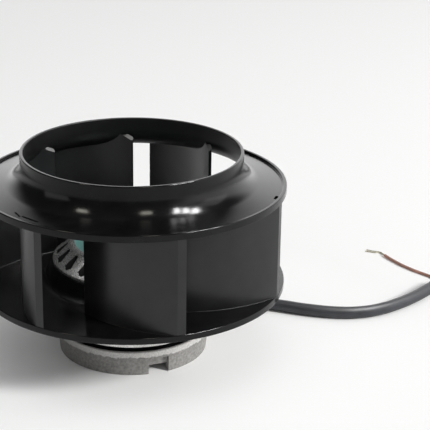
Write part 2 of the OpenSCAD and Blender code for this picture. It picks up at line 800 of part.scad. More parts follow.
module notch_cuts() {
    for (i = [0 : notch_count - 1]) facing(notch_phase + i * notch_step) {
        translate([notch_floor, -notch_w / 2, -cut]) cube([far, notch_w, notch_h + cut]);
        if (i == cable_notch) {
            translate([skirt_in_r - cut, 0, cable_z]) rotate([0, 90, 0])
                cylinder(r = bush_neck_r + join_gap, h = skirt_w);
            translate([skirt_in_r - cut, -bush_neck_r - join_gap, -cut])
                cube([skirt_w, 2 * (bush_neck_r + join_gap), cable_z + cut]);
            translate([notch_floor, 0, cable_z]) rotate([0, 90, 0])
                cylinder(r = bush_collar_r + join_gap, h = far);
        } else {
            translate([skirt_in_r - cut, -notch_w / 2, -cut]) cube([far, notch_w, notch_open_h + cut]);
        }
    }
}

module screw_places() {
    for (i = [0 : notch_count - 1])
        facing(notch_phase + (i + 0.5) * notch_step) translate([screw_pcd / 2, 0, 0]) children();
}

module motor_flange() {
    color("#8b8a87") difference() {
        union() {
            rotate_extrude() polygon([
                [skirt_in_r, 0], [base_r, 0], [band_r, band_z], [flange_r, flange_h],
                [recess_out_r, flange_h], [recess_out_r, recess_z], [recess_in_r, recess_z],
                [recess_in_r, flange_h], [shoulder_r, flange_h], [shoulder_r, core_z],
                [tube_r, core_z], [tube_r, tube_top_z], [seat_r, tube_top_z],
                [seat_r, washer_z], [step_r, washer_z],
                [step_r, lower_bearing_z + bearing_w], [seat_r, lower_bearing_z + bearing_w],
                [seat_r, tube_foot_z], [tube_r, tube_foot_z], [tube_r, flange_ceiling_z],
                [skirt_in_r, flange_ceiling_z]
            ]);
            screw_places() {
                cylinder(r = screw_boss_r, h = flange_ceiling_z + cut);
                translate([0, -screw_boss_r / 2, 0])
                    cube([skirt_in_r + cut - screw_pcd / 2, screw_boss_r, flange_ceiling_z + cut]);
            }
        }
        screw_places() translate([0, 0, -cut]) cylinder(r = screw_hole_r, h = screw_hole_d + cut);
        notch_cuts();
        facing(cable_dir) {
            translate([lead_hole_pos, 0, flange_ceiling_z - cut])
                cylinder(r = lead_hole_r, h = flange_t + 2 * cut);
            translate([earth_out, earth_side, flange_ceiling_z - cut])
                cylinder(r = earth_screw_r + press_gap, h = flange_t);
        }
    }
}

// Cable and its fittings

// Half section of the bush along the cable's direction
module bush_section() {
    inner_face = skirt_in_r - join_gap;
    outer_face = notch_floor + join_gap;
    inner_end = inner_face - bush_collar_l;
    outer_end = outer_face + bush_collar_l;
    difference() {
        polygon([
            [0, inner_end], [bush_collar_r, inner_end], [bush_collar_r, inner_face - bush_lip],
            [bush_neck_r, inner_face - bush_lip], [bush_neck_r, outer_face],
            [bush_collar_r, outer_face], [bush_collar_r, outer_end],
            [bush_neck_r, outer_end + bush_lip], [bush_tip_r, bush_end], [0, bush_end]
        ]);
        translate([0, inner_end - cut]) square([bush_bore_r, bush_end - inner_end + 2 * cut]);
    }
}

// Turns a shape drawn along +Z to the cable's axis, at a distance out from the spin axis
module along_cable(out = 0) {
    facing(cable_dir) translate([out, 0, cable_z]) rotate([90, 0, 90]) children();
}

module cable_bush() {
    color("#202022") along_cable() rotate_extrude() bush_section();
}

module cable_tie() {
    grip_r = sheath_r + join_gap;
    color("#e4e2da") along_cable(tie_pos) difference() {
        union() {
            cylinder(r = grip_r + tie_t, h = tie_w);
            translate([sheath_r, -tie_head_w / 2, 0]) cube([tie_head_l, tie_head_w, tie_w]);
        }
        translate([0, 0, -cut]) cylinder(r = grip_r, h = tie_w + 2 * cut);
    }
}

// Moves a shape to the earth screw's axis
module at_earth_screw(z) {
    facing(cable_dir) translate([earth_out, earth_side, z]) children();
}

module earth_screw() {
    color("#c9b268") {
        at_earth_screw(earth_lug_z - earth_head_h) difference() {
            cylinder(r = earth_head_r, h = earth_head_h);
            translate([-earth_head_r, -earth_slot / 2, -cut])
                cube([2 * earth_head_r, earth_slot, earth_slot + cut]);
        }
        at_earth_screw(earth_lug_z) cylinder(r = earth_screw_r, h = flange_t + earth_lug_t - 2 * cut);
    }
}

module earth_lug() {
    barrel_y = -earth_lug_r - earth_barrel_l;
    color("#c6c6c8") difference() {
        union() {
            at_earth_screw(earth_lug_z) {
                cylinder(r = earth_lug_r, h = earth_lug_t);
                translate([-earth_barrel_r, barrel_y, 0])
                    cube([2 * earth_barrel_r, earth_barrel_l + earth_lug_t, earth_lug_t]);
            }
            at_earth_screw(earth_lead_z) translate([0, -earth_lug_r, 0]) rotate([90, 0, 0])
                cylinder(r = earth_barrel_r, h = earth_barrel_l);
        }
        at_earth_screw(earth_lug_z - cut)
            cylinder(r = earth_screw_r + press_gap, h = earth_lug_t + 2 * cut);
        at_earth_screw(earth_lead_z) translate([0, cut - earth_lug_r, 0]) rotate([90, 0, 0])
            cylinder(r = core_wire_r + join_gap, h = earth_barrel_l + 2 * cut);
    }
}

// Lead from the upper half of the sheath's inner end up through the flange to the lower winding head
function lead_route(side) =
    let (reach = sheath_in_end - lead_hole_pos)
    [
        beside_cable(sheath_in_end, side, cable_z + core_wire_r),
        beside_cable(lead_hole_pos + 0.5 * reach, side, cable_z + 1.4 * core_wire_r),
        beside_cable(lead_hole_pos + 0.15 * reach, side, cable_z + 2.4 * core_wire_r),
        beside_cable(lead_hole_pos, side, cable_z + 4 * core_wire_r),
        beside_cable(lead_hole_pos, side, flange_h),
        beside_cable(lead_hole_pos, side, coil_foot_z)
    ];

module lead_brown() {
    color("#6a4030") tube(lead_route(-lead_spread), core_wire_r, core_sides, beside_cable(0, 1, 0));
}

module lead_blue() {
    color("#3a5f96") tube(lead_route(lead_spread), core_wire_r, core_sides, beside_cable(0, 1, 0));
}

// Lead from the lower half of the sheath's inner end, under the other two and up into the earth lug's barrel
module lead_earth() {
    low_z = cable_z - 2.2 * core_wire_r;
    rise_side = lead_spread + 2.6 * core_wire_r;
    color("#8fa53c") tube([
        beside_cable(sheath_in_end, 0, low_z),
        beside_cable(sheath_in_end - core_wire_r, lead_spread, low_z),
        beside_cable((sheath_in_end + earth_out) / 2, rise_side - 0.8 * core_wire_r, low_z + 0.6 * core_wire_r),
        beside_cable(earth_out, rise_side, low_z + 2.4 * core_wire_r),
        beside_cable(earth_out, rise_side, earth_lead_z - 2 * core_wire_r),
        beside_cable(earth_out, rise_side + 0.4 * core_wire_r, earth_lead_z - 0.6 * core_wire_r),
        beside_cable(earth_out, earth_mouth - 0.3 * core_wire_r, earth_lead_z),
        beside_cable(earth_out, earth_mouth + 0.7 * earth_barrel_l, earth_lead_z)
    ], core_wire_r, core_sides, beside_cable(1, 0, 0));
}

module cable_sheath() {
    straight = [for (out = [sheath_in_end, skirt_in_r, bush_end]) beside_cable(out, 0, cable_z)];
    color("#2a2b2e") tube(concat(straight, sheath_route), sheath_r, sheath_sides);
}

module core_brown() {
    color("#7a4a38") tube(brown_route, core_wire_r, core_sides);
}

module core_blue() {
    color("#3a5f96") tube(blue_route, core_wire_r, core_sides);
}

module core_earth() {
    color("#8fa53c") tube(earth_route, core_wire_r, core_sides);
}

module strands(route) {
    color("#a89a78") tube(route, strand_r, core_sides);
}

inlet_shroud();
back_plate();
for (i = [1 : blade_count]) blade(i);
rotor_cup();
rotor_core();
rotor_cage();
rotor_label();
shaft();
shaft_clip();
bearing_inner(upper_bearing_z);  // upper_bearing_inner
bearing_inner(lower_bearing_z);  // lower_bearing_inner
bearing_outer(upper_bearing_z);  // upper_bearing_outer
bearing_outer(lower_bearing_z);  // lower_bearing_outer
bearing_shields(upper_bearing_z);  // upper_bearing_shields
bearing_shields(lower_bearing_z);  // lower_bearing_shields
bearing_balls(upper_bearing_z);  // upper_bearing_balls
bearing_balls(lower_bearing_z);  // lower_bearing_balls
bearing_cage(upper_bearing_z);  // upper_bearing_cage
bearing_cage(lower_bearing_z);  // lower_bearing_cage
motor_flange();
stator_core();
stator_winding();
end_plate(core_top_z);  // upper_end_plate
end_plate(core_z - end_plate_t);  // lower_end_plate
thermal_cutout();
preload_washer();
dust_cap();
cable_bush();
cable_tie();
earth_screw();
earth_lug();
lead_brown();
lead_blue();
lead_earth();
cable_sheath();
core_brown();
core_blue();
core_earth();
strands(brown_ends);  // strands_brown
strands(blue_ends);  // strands_blue
strands(earth_ends);  // strands_earth
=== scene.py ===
import json
import math
import random

import bmesh
import bpy
from mathutils import Matrix, Vector


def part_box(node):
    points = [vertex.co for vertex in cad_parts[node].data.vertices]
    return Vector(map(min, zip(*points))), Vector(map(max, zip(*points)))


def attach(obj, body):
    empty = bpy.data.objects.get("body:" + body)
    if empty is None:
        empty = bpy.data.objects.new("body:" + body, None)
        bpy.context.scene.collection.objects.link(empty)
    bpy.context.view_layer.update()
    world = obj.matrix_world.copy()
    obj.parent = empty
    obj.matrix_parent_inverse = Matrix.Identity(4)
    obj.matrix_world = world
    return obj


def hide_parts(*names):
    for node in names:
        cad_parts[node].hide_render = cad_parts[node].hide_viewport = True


# Looks of a centrifugal cooling fan: a black moulded wheel on a die-cast motor, with a stripped cable.
# Sizes are millimetres in the frame of the CAD part, and MM turns them to metres.

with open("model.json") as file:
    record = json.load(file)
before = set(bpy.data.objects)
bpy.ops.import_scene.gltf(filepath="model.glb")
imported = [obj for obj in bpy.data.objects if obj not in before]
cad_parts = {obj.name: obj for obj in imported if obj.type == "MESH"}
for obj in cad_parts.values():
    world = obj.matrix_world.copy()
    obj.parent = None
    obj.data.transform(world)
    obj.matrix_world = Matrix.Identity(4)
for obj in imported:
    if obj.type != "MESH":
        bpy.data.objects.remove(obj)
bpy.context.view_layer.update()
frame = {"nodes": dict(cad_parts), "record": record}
MM = 0.001


def heights(node):
    """Lowest and highest level of a CAD node."""
    low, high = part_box(node)
    return low.z / MM, high.z / MM


# Wheel
wheel_r = 95.0
shroud_t = 2.2
rim_bottom_z, collar_top_z = heights("inlet_shroud")
rim_h = 4.4
rim_top_z = rim_bottom_z + rim_h
collar_r = 68.4
lip_r = 92.8
lip_h = 1.5
lip_foot_z = rim_top_z - lip_h
lip_slot_r = 91.2
lip_slot_l = 6.0
lip_slot_w = 2.0
lip_slot_turn = 3.6
sweep_r = 12.0
cone_slope = math.radians(9)
cone_rise = math.tan(cone_slope)
cone_cos = math.cos(cone_slope)
plate_z, _ = heights("blade_1")
plate_t = 2.6
plate_rim_w = 3.0
plate_foot_z, hub_top_z = heights("back_plate")
hub_bore_r = 47.42
hub_top_r = 50.3
hub_foot_r = 55.1
hub_fillet = 6.0

# Blades
blade_count = 7
blade_step = 360 / blade_count
blade_t = 2.2
blade_in_r = 65.0
inlet_angle = math.radians(28)
outlet_angle = math.radians(25)
blade_phase = 15.4
nose_z = 117.5
nose_slope = 0.9
painted_reflection_drop = 4.0
foot_fillet = 0.35
fillet_angles = (0, 11, 22, 34, 45, 56, 67, 79)
blade_sink = 0.3
blade_inset = 0.05

# Rotor
rotor_r = 47.4
rotor_rim_z, rotor_top_z = heights("rotor_cup")
rotor_in_r = 44.2
rotor_lip_r = 49.8
rotor_lip_h = 1.8
rotor_lip_z = hub_top_z + rotor_lip_h
rotor_top_r = 38.6
rotor_top_t = 3.2
rotor_ceiling_z = rotor_top_z - rotor_top_t
rotor_slots = 22
label_r = 36.2
label_border = 0.6

# Flange
base_r = 46.5
band_z = 11.6
band_r = 47.6
flange_z = 16.4
flange_r = 48.8
recess_out_r = 47.0
recess_in_r = 37.0
recess_z = 14.2
ceiling_z = 12.4
skirt_in_r = 41.5
notch_floor = 43.7
notch_w = 13.0
notch_h = 10.8
notch_open_h = 5.0
notch_directions = (19.5, 139.5, 259.5)
cable_dir = notch_directions[1]
screw_ring_r = 33.0
screw_boss_r = 5.0
boss_rib_w = 4.9
screw_hole_r = 1.65
screw_hole_depth = 9.0
tube_r = 15.0
tube_shoulder_r = 17.0
tube_seat_z, _ = heights("stator_core")
_, tube_top_z = heights("motor_flange")
tube_foot_z = 6.0
bearing_seat_r = 11.02
bearing_stop_r = 9.0
lower_seat = heights("lower_bearing_outer")
upper_seat = heights("upper_bearing_outer")
washer_z, _ = heights("preload_washer")

# Cable
sheath_r = 4.0
cable_z = 6.0
bush_inner = 38.6
bush_end = 60.0
bush_neck_r = 5.2
bush_collar_r = 5.8
bush_gap = 0.05
core_r = 1.0
strands_per_core = 12
strand_wire_r = 0.13
strand_bundle_r = 0.42
strand_fan = 0.5
strand_twist = 0.7

# Camera, fitted to the photograph
camera_place = Vector((0, -845.8, 406.2))
camera_yaw = 0.06050
camera_pitch = 0.36043
camera_roll = 0.015355
focal_pixels = 1455.6
photo_pixels = 430
sensor_width = 36.0

# How far a cut reaches past its piece, and in metres how close points are merged
cut_past = 1.0
same_point = 1e-7
sliver = 3e-6

scene = bpy.context.scene


# Helpers for shapes

def show(name, data):
    """New object in the scene."""
    piece = bpy.data.objects.new(name, data)
    scene.collection.objects.link(piece)
    return piece


def rounded(corners, step=12):
    """Closed outline of (x, y, radius) corners, each an arc of its radius in parts of about step degrees."""
    outline = []
    for i, (x, y, radius) in enumerate(corners):
        here = Vector((x, y))
        if not radius:
            outline.append(here)
            continue
        back = (Vector(corners[i - 1][:2]) - here).normalized()
        ahead = (Vector(corners[(i + 1) % len(corners)][:2]) - here).normalized()
        half = back.angle(ahead) / 2
        centre = here + (back + ahead).normalized() * radius / math.sin(half)
        first = here + back * radius / math.tan(half) - centre
        last = here + ahead * radius / math.tan(half) - centre
        start = math.atan2(first.y, first.x)
        turn = (math.atan2(last.y, last.x) - start + math.pi) % math.tau - math.pi
        parts = max(2, math.ceil(abs(math.degrees(turn)) / step))
        for k in range(parts + 1):
            a = start + turn * k / parts
            outline.append(centre + radius * Vector((math.cos(a), math.sin(a))))
    return outline


def lathe(outline, segments=224):
    """Solid of revolution about Z from a closed outline of (radius, height) points."""
    count = len(outline)
    points, faces = [], []
    for k in range(segments):
        a = math.tau * k / segments
        points += [(r * math.cos(a), r * math.sin(a), z) for r, z in outline]
        here, there = k * count, (k + 1) % segments * count
        for i in range(count):
            j = (i + 1) % count
            faces.append((here + i, there + i, there + j, here + j))
    return points, faces


def prism(outline, low, high):
    """Solid between two heights from a closed outline of (x, y) points."""
    count = len(outline)
    points = [(x, y, low) for x, y in outline] + [(x, y, high) for x, y in outline]
    faces = [(i, (i + 1) % count, count + (i + 1) % count, count + i) for i in range(count)]
    faces += [tuple(reversed(range(count))), tuple(range(count, 2 * count))]
    return points, faces


def moved(solid, matrix):
    """The same solid, moved by a matrix."""
    points, faces = solid
    return [matrix @ Vector(p) for p in points], faces


def turned(solid, degrees):
    """The same solid, turned about the spin axis."""
    return moved(solid, Matrix.Rotation(math.radians(degrees), 4, "Z"))


def facing(solid, direction):
    """Turns +X to a direction in degrees from the front, towards +X."""
    return turned(solid, direction - 90)


def block(low, high):
    """Box between two corners."""
    corners = [(low[0], low[1]), (high[0], low[1]), (high[0], high[1]), (low[0], high[1])]
    return prism(corners, low[2], high[2])


def disc(radius, low, high, x=0.0, y=0.0, sides=48):
    """Cylinder along Z."""
    turns = [math.tau * k / sides for k in range(sides)]
    return prism([(x + radius * math.cos(a), y + radius * math.sin(a)) for a in turns], low, high)


def build(name, solids):
    """One object from several closed solids, with its doubled points merged and its faces turned outwards."""
    grid = bmesh.new()
    for points, faces in solids:
        corners = [grid.verts.new(Vector(p) * MM) for p in points]
        for face in faces:
            grid.faces.new([corners[i] for i in face])
    bmesh.ops.remove_doubles(grid, verts=grid.verts, dist=same_point)
    bmesh.ops.dissolve_degenerate(grid, edges=grid.edges, dist=same_point)
    bmesh.ops.recalc_face_normals(grid, faces=grid.faces)
    mesh = bpy.data.meshes.new(name)
    grid.to_mesh(mesh)
    grid.free()
    return show(name, mesh)


def settle(piece):
    """Applies a piece's modifiers to its mesh."""
    bpy.context.view_layer.update()
    graph = bpy.context.evaluated_depsgraph_get()
    mesh = bpy.data.meshes.new_from_object(piece.evaluated_get(graph))
    piece.modifiers.clear()
    piece.data = mesh


def combine(piece, solids, operation="DIFFERENCE"):
    """Cuts solids out of a piece, or joins them to it."""
    tool = build("tool", solids)
    change = piece.modifiers.new("combine", "BOOLEAN")
    change.operation = operation
    change.solver = "EXACT"
    change.object = tool
    settle(piece)
    bpy.data.objects.remove(tool)


def merge_slivers(piece):
    """Merges points that cuts left almost on each other, and dissolves the slivers between them."""
    grid = bmesh.new()
    grid.from_mesh(piece.data)
    bmesh.ops.remove_doubles(grid, verts=grid.verts, dist=sliver)
    bmesh.ops.dissolve_degenerate(grid, edges=grid.edges, dist=sliver)
    grid.to_mesh(piece.data)
    grid.free()


def smooth(piece, angle=32):
    """Smooth shading, except across edges sharper than an angle."""
    piece.data.shade_smooth()
    piece.data.set_sharp_from_angle(angle=math.radians(angle))


def finished(piece, body, nodes, surface):
    """Gives a piece its material and its place in the frame."""
    piece.data.materials.clear()
    piece.data.materials.append(surface)
    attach(piece, body)
    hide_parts(*nodes)
    return piece


# Helpers for materials

def paint(name, colour, roughness, metallic=0.0, specular=0.5):
    """New material with a plain Principled shader."""
    surface = bpy.data.materials.new(name)
    surface.use_nodes = True
    shader = surface.node_tree.nodes["Principled BSDF"]
    shader.inputs["Base Color"].default_value = (*colour, 1)
    shader.inputs["Roughness"].default_value = roughness
    shader.inputs["Metallic"].default_value = metallic
    shader.inputs["Specular IOR Level"].default_value = specular
    return surface


def feed(surface, socket, source):
    """Links a node's output to a socket, or sets the socket to a value."""
    if isinstance(source, bpy.types.NodeSocket):
        surface.node_tree.links.new(source, socket)
    else:
        socket.default_value = source


def node(surface, kind, settings=None, **inputs):
    """First output of a new node, with its settings and its inputs by name."""
    made = surface.node_tree.nodes.new(kind)
    for name, value in (settings or {}).items():
        setattr(made, name, value)
    for name, value in inputs.items():
        feed(surface, made.inputs[name.replace("_", " ")], value)
    return made.outputs[0]


def object_place(surface):
    """Place on the object, in metres."""
    return surface.node_tree.nodes.new("ShaderNodeTexCoord").outputs["Object"]


def along_axes(surface):
    """Place on the object as its x, y and z."""
    split = surface.node_tree.nodes.new("ShaderNodeSeparateXYZ")
    feed(surface, split.inputs[0], object_place(surface))
    return split.outputs


def from_axis(surface):
    """Distance from the spin axis, in metres."""
    flat = node(surface, "ShaderNodeVectorMath", {"operation": "MULTIPLY"})
    feed(surface, flat.node.inputs[0], object_place(surface))
    flat.node.inputs[1].default_value = (1, 1, 0)
    length = surface.node_tree.nodes.new("ShaderNodeVectorMath")
    length.operation = "LENGTH"
    feed(surface, length.inputs[0], flat)
    return length.outputs["Value"]


def spots(surface, size, detail=3.0, stretch=(1, 1, 1)):
    """Noise over the object, with spots of about a size in millimetres, drawn out by stretch."""
    scaled = node(surface, "ShaderNodeMapping", Vector=object_place(surface), Scale=[1 / s for s in stretch])
    return node(surface, "ShaderNodeTexNoise", Vector=scaled, Scale=1 / (size * MM), Detail=detail)


def spread(surface, value, low, high, start=0.3, end=0.7):
    """Maps a value from start..end to low..high."""
    return node(surface, "ShaderNodeMapRange", Value=value,
                From_Min=start, From_Max=end, To_Min=low, To_Max=high)


def blend(surface, factor, first, second):
    """Mix of two colours."""
    mix = surface.node_tree.nodes.new("ShaderNodeMix")
    mix.data_type = "RGBA"
    feed(surface, mix.inputs[0], factor)
    for socket, colour in ((mix.inputs[6], first), (mix.inputs[7], second)):
        feed(surface, socket, colour if isinstance(colour, bpy.types.NodeSocket) else (*colour, 1))
    return mix.outputs[2]


def put(surface, socket, source):
    """Feeds one socket of the material's shader."""
    feed(surface, surface.node_tree.nodes["Principled BSDF"].inputs[socket], source)


def grain(surface, height, depth):
    """Raises the surface by a height pattern, to a depth in millimetres."""
    put(surface, "Normal", node(surface, "ShaderNodeBump", Height=height, Distance=depth * MM, Strength=1.0))


def moulded(name, colour, dull, gloss, peel, specular=0.5):
    """Moulded plastic: patches of gloss and dull, a slight change of tone, and an orange-peel skin."""
    surface = paint(name, colour, dull, specular=specular)
    patches = spots(surface, size=38, detail=4)
    put(surface, "Roughness", spread(surface, patches, gloss, dull))
    pale = [c * 1.6 + 0.001 for c in colour]
    tone = spread(surface, spots(surface, size=9, detail=5), 0, 1)
    put(surface, "Base Color", blend(surface, tone, colour, pale))
    grain(surface, spots(surface, size=1.1, detail=2), peel)
    return surface


def wheel_plastic():
    """Glossy black plastic from a turned mould, whose fine rings draw highlights out across them."""
    black = (0.0032, 0.0032, 0.0035)
    surface = moulded("wheel_plastic", black, dull=0.20, gloss=0.15, peel=0.003, specular=0.21)
    put(surface, "Anisotropic", 0.85)
    put(surface, "Anisotropic Rotation", 0.25)
    put(surface, "Tangent", node(surface, "ShaderNodeTangent", {"direction_type": "RADIAL", "axis": "Z"}))
    return surface


def metal(name, colour, roughness, size, depth, stretch=(1, 1, 1), metallic=1.0):
    """Metal with a grain of a size in millimetres and slightly uneven tone and gloss."""
    surface = paint(name, colour, roughness, metallic)
    fine = spots(surface, size, detail=4, stretch=stretch)
    dark = [c * 0.72 for c in colour]
    patches = spread(surface, spots(surface, size * 7, detail=4), 0, 1)
    put(surface, "Base Color", blend(surface, patches, dark, colour))
    put(surface, "Roughness", spread(surface, fine, roughness * 0.8, min(1, roughness * 1.25)))
    grain(surface, fine, depth)
    return surface


def flange_casting():
    """Rough die casting, with painted shade darkening its left side, bright along its upper edge, and painted
    shade making its recess black.
    """
    surface = paint("flange_casting", (0.42, 0.41, 0.39), 0.5, 0.35)
    x, _, height = along_axes(surface)
    fine = spots(surface, size=0.7, detail=4)
    ragged_by = 4.2 * MM
    uneven = spots(surface, size=3.2, detail=5)
    ragged = node(surface, "ShaderNodeMath", {"operation": "MULTIPLY_ADD"}, Value=uneven)
    ragged.node.inputs[1].default_value = ragged_by
    feed(surface, ragged.node.inputs[2], height)
    worn = spread(surface, ragged, 0, 1, 13.9 * MM, 14.7 * MM)
    mottle = spread(surface, spots(surface, size=1.6, detail=5), 0, 1)
    dull = blend(surface, mottle, (0.21, 0.205, 0.195), (0.38, 0.37, 0.355))
    bright = blend(surface, spread(surface, fine, 0, 1), (0.50, 0.49, 0.47), (0.84, 0.83, 0.81))
    cast = blend(surface, worn, dull, bright)
    # Painted shade: the casting darkens towards its left side.
    left_painted_shade = spread(surface, x, 0.55, 0, -46 * MM, 30 * MM)
    cast_with_left_shade = blend(surface, left_painted_shade, cast, (0.05, 0.049, 0.046))
    # Painted shade: inside the recess under the rotor, the flange's top face is painted near black.
    rim = spread(surface, from_axis(surface), 0, 1, (recess_out_r - 0.1) * MM, (recess_out_r + 0.2) * MM)
    below = spread(surface, height, 1, 0, ceiling_z * MM, (ceiling_z + 0.2) * MM)
    outside_painted_shade = node(surface, "ShaderNodeMath", {"operation": "MAXIMUM"})
    feed(surface, outside_painted_shade.node.inputs[0], rim)
    feed(surface, outside_painted_shade.node.inputs[1], below)
    put(surface, "Base Color", blend(surface, outside_painted_shade, (0.012, 0.012, 0.012), cast_with_left_shade))
    put(surface, "Roughness", spread(surface, fine, 0.38, 0.62))
    grain(surface, fine, depth=0.16)
    return surface


def earth_pvc():
    """Green insulation with a winding yellow stripe."""
    green, yellow = (0.05, 0.22, 0.03), (0.62, 0.50, 0.03)
    surface = paint("core_earth_pvc", green, 0.45)
    wave = node(surface, "ShaderNodeTexWave", {"bands_direction": "DIAGONAL"},
                Vector=object_place(surface), Scale=60.0)
    stripe = spread(surface, wave, 0, 1, 0.55, 0.6)
    put(surface, "Base Color", blend(surface, stripe, green, yellow))
    grain(surface, spots(surface, size=0.8, detail=2), depth=0.01)
    return surface


def label_film():
    """Blank teal film with a pale border."""
    teal = (0.21, 0.50, 0.46)
    surface = moulded("label_film", teal, dull=0.36, gloss=0.28, peel=0.004)
    edge = (label_r - label_border) * MM
    border = spread(surface, from_axis(surface), 0, 1, edge, edge + 0.1 * MM)
    patches = spread(surface, spots(surface, size=9, detail=5), 0, 1)
    tone = blend(surface, patches, teal, (0.23, 0.53, 0.49))
    put(surface, "Base Color", blend(surface, border, tone, (0.46, 0.55, 0.53)))
    return surface


# Materials by the record's slots
# metal: colour, roughness, size and depth of the grain; moulded: colour, dull and glossy roughness, peel

surfaces = {
    "wheel_plastic": wheel_plastic(),
    "rotor_casting": metal("rotor_casting", (0.86, 0.86, 0.84), 0.28, 0.8, 0.04, metallic=0.82),
    "label_film": label_film(),
    "flange_casting": flange_casting(),
    "lamination_steel": metal("lamination_steel", (0.30, 0.30, 0.31), 0.45, 0.5, 0.08, (30, 30, 1)),
    "cage_aluminium": metal("cage_aluminium", (0.66, 0.66, 0.65), 0.4, 0.9, 0.05),
    "shaft_steel": metal("shaft_steel", (0.62, 0.62, 0.64), 0.24, 0.3, 0.004, (20, 20, 1)),
    "spring_steel": metal("spring_steel", (0.24, 0.24, 0.26), 0.34, 0.5, 0.01),
    "bearing_steel": metal("bearing_steel", (0.68, 0.68, 0.70), 0.16, 0.6, 0.003),
    "shield_steel": metal("shield_steel", (0.50, 0.50, 0.52), 0.3, 0.6, 0.006),
    "cage_brass": metal("cage_brass", (0.62, 0.47, 0.20), 0.32, 0.6, 0.01),
    "winding_copper": metal("winding_copper", (0.50, 0.24, 0.10), 0.34, 0.5, 0.2, (12, 12, 1), 0.85),
    "insulation": moulded("insulation", (0.62, 0.58, 0.48), 0.55, 0.45, 0.02),
    "bush_rubber": moulded("bush_rubber", (0.012, 0.012, 0.013), 0.72, 0.6, 0.02),
    "tie_nylon": moulded("tie_nylon", (0.70, 0.69, 0.63), 0.48, 0.4, 0.01),
    "earth_brass": metal("earth_brass", (0.60, 0.48, 0.20), 0.3, 0.4, 0.01),
    "earth_tin": metal("earth_tin", (0.62, 0.62, 0.63), 0.34, 0.5, 0.01),
    "sheath_pvc": moulded("sheath_pvc", (0.023, 0.024, 0.028), 0.52, 0.44, 0.008),
    "core_brown_pvc": moulded("core_brown_pvc", (0.30, 0.15, 0.11), 0.5, 0.4, 0.01),
    "core_blue_pvc": moulded("core_blue_pvc", (0.03, 0.10, 0.30), 0.5, 0.4, 0.01),
    "core_earth_pvc": earth_pvc(),
    "strand_copper": metal("strand_copper", (0.62, 0.58, 0.46), 0.36, 0.3, 0.01, metallic=0.35),
}
blade_surface = moulded("blade_plastic", (0.006, 0.006, 0.0064), 0.36, 0.28, 0.008, specular=0.46)
painted_reflection_surface = moulded("blade_painted_reflection", (0.09, 0.09, 0.088), 0.6, 0.5, 0.02, specular=0.3)
inside_surface = moulded("wheel_inside", (0.003, 0.003, 0.0032), 0.5, 0.4, 0.006, specular=0.25)
painted_shade_surface = metal("rotor_painted_shade", (0.02, 0.02, 0.019), 0.6, 0.8, 0.05, metallic=0.4)
for part in frame["record"]["subparts"]:
    slots = frame["nodes"][part["node"]].data.materials
    slots.clear()
    slots.append(surfaces[part["material_slot"]])


# Camera

level_share = math.cos(camera_pitch)
forward = Vector((math.sin(camera_yaw) * level_share, math.cos(camera_yaw) * level_share,
                  -math.sin(camera_pitch)))
level = Vector((math.cos(camera_yaw), -math.sin(camera_yaw), 0))
upright = level.cross(forward)
right = level * math.cos(camera_roll) + upright * math.sin(camera_roll)
up = upright * math.cos(camera_roll) - level * math.sin(camera_roll)
camera = show("camera", bpy.data.cameras.new("camera"))
camera.data.sensor_width = sensor_width
camera.data.lens = sensor_width * focal_pixels / photo_pixels
camera.data.clip_end = 50
camera_turn = Matrix((right, up, -forward)).transposed().to_4x4()
camera.matrix_world = Matrix.Translation(camera_place * MM) @ camera_turn
scene.camera = camera


# Cable

def beside_cable(out, side=0.0, z=cable_z):
    """Point at a distance out from the axis along the cable, sideways from it and at a height."""
    a = math.radians(cable_dir)
    return out * math.sin(a) + side * math.cos(a), -out * math.cos(a) + side * math.sin(a), z


sheath_start = 30.17
sheath_route = [beside_cable(sheath_start), beside_cable(skirt_in_r), beside_cable(bush_end)] + [
    (48, 53, 5.4), (59, 57, 4.8), (70, 57, 4.4), (78, 55, 4.1), (90, 50, 4), (101, 45.5, 4),
    (117, 39, 4), (137, 34, 4), (150, 34, 4), (164, 38, 4), (182, 49.5, 4), (194, 60, 4),
    (206, 73, 4), (216, 84, 4)
]
core_routes = {
    "brown": [
        (215, 85, 3.4), (216.8, 88, 2.8), (217.4, 91, 2.2), (216.8, 94.2, 1.6), (215, 97, 1.2),
        (212, 101, 1), (208, 105.5, 1), (204, 110, 1), (199.4, 116, 1), (195, 122.5, 1),
        (191.6, 128.8, 1), (188.5, 135, 1), (186, 141, 1)
    ],
    "blue": [
        (217.2, 82.8, 3.4), (221, 87, 2.6), (225.5, 92, 1.8), (230, 98, 1.2), (233.5, 105, 1),
        (236, 113, 1), (237, 121, 1), (237, 129, 1), (236, 137, 1), (234.5, 145, 1), (233, 152, 1)
    ],
    "earth": [
        (216, 84, 5.8), (220.5, 89, 5), (224, 93.5, 3.6), (226.6, 98.6, 2.2), (228.4, 104.5, 1.2),
        (229.4, 111, 1), (229.6, 118, 1), (229, 125, 1), (228, 132, 1), (227, 139.5, 1), (226.4, 147, 1)
    ],
}
strand_routes = {
    "brown": [(186, 141, 1), (184.8, 143.6, 0.8), (183, 147.6, 0.6), (179, 148.6, 0.6), (173.6, 151.2, 0.6)],
    "blue": [(233, 152, 1), (232, 157, 0.8), (231.4, 162, 0.6), (231, 168, 0.6)],
    "earth": [(226.4, 147, 1), (226.4, 152, 0.8), (226.8, 157, 0.6), (227.6, 163, 0.6)],
}


def line(curve, route):
    """Adds a smooth open spline through a route."""
    spline = curve.splines.new("BEZIER")
    spline.bezier_points.add(len(route) - 1)
    for point, place in zip(spline.bezier_points, route):
        point.co = Vector(place) * MM
        point.handle_left_type = "AUTO"
        point.handle_right_type = "AUTO"


def wire(name, routes, radius):
    """Round wire or wires along routes, closed at their ends."""
    curve = bpy.data.curves.new(name, "CURVE")
    curve.dimensions = "3D"
    curve.bevel_depth = radius * MM
    curve.bevel_resolution = 6
    curve.resolution_u = 8
    curve.use_fill_caps = True
    for route in routes:
        line(curve, route)
    return show(name, curve)


sheath = wire("cable_sheath_outer", [sheath_route], sheath_r)
finished(sheath, "base", ["cable_sheath"], surfaces["sheath_pvc"])

